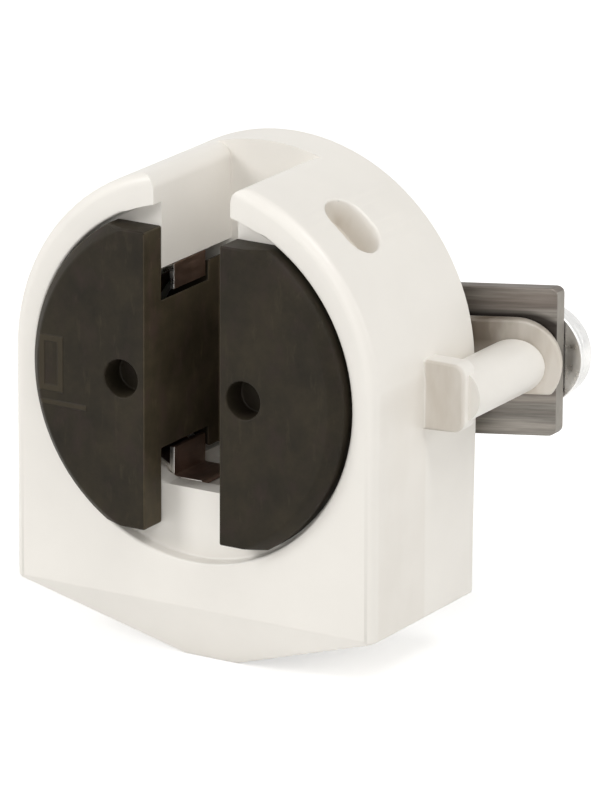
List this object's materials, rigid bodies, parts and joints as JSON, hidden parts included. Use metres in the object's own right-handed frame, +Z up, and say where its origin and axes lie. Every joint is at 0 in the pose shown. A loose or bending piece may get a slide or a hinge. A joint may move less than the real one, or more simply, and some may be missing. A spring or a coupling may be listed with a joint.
{
  "type": "fluorescent tube lamp holder",
  "caption": "White rotary holder for a two-pin fluorescent tube: a dark slotted rotor turns in an arched housing, with rear studs and a steel clamping strap.",
  "frame": {"origin": "on the rotor axis, midway between the studs, in the plane of the housing's back rim", "axes": "+Y backwards along the studs and the rotor axis, +Z up towards the entry channel, +X to the right seen from the lamp"},
  "size_m": [0.039, 0.0228, 0.0347],
  "materials": {
    "white_plastic": "moulded, soft satin",
    "dark_plastic": "moulded, dark brown-black",
    "contact_bronze": "rolled bronze strip",
    "spring_steel": "plain spring steel",
    "strap_steel": "dull zinc-plated strip",
    "screw_steel": "bright zinc plate"
  },
  "bodies": {
    "holder": {"housing": "white_plastic", "rear_cover": "white_plastic", "contact_left": "contact_bronze", "contact_right": "contact_bronze", "terminal_spring_left": "spring_steel", "terminal_spring_right": "spring_steel", "strap": "strap_steel", "screw_left": "screw_steel", "screw_right": "screw_steel", "washer_left": "screw_steel", "washer_right": "screw_steel"},
    "rotor": {"rotor": "dark_plastic"}
  },
  "joints": [
    {"name": "rotor_turn", "type": "hinge", "parent": "holder", "child": "rotor", "pos_m": [0, 0, 0], "axis": [0, 1, 0], "range_deg": [-90, 90]}
  ]
}
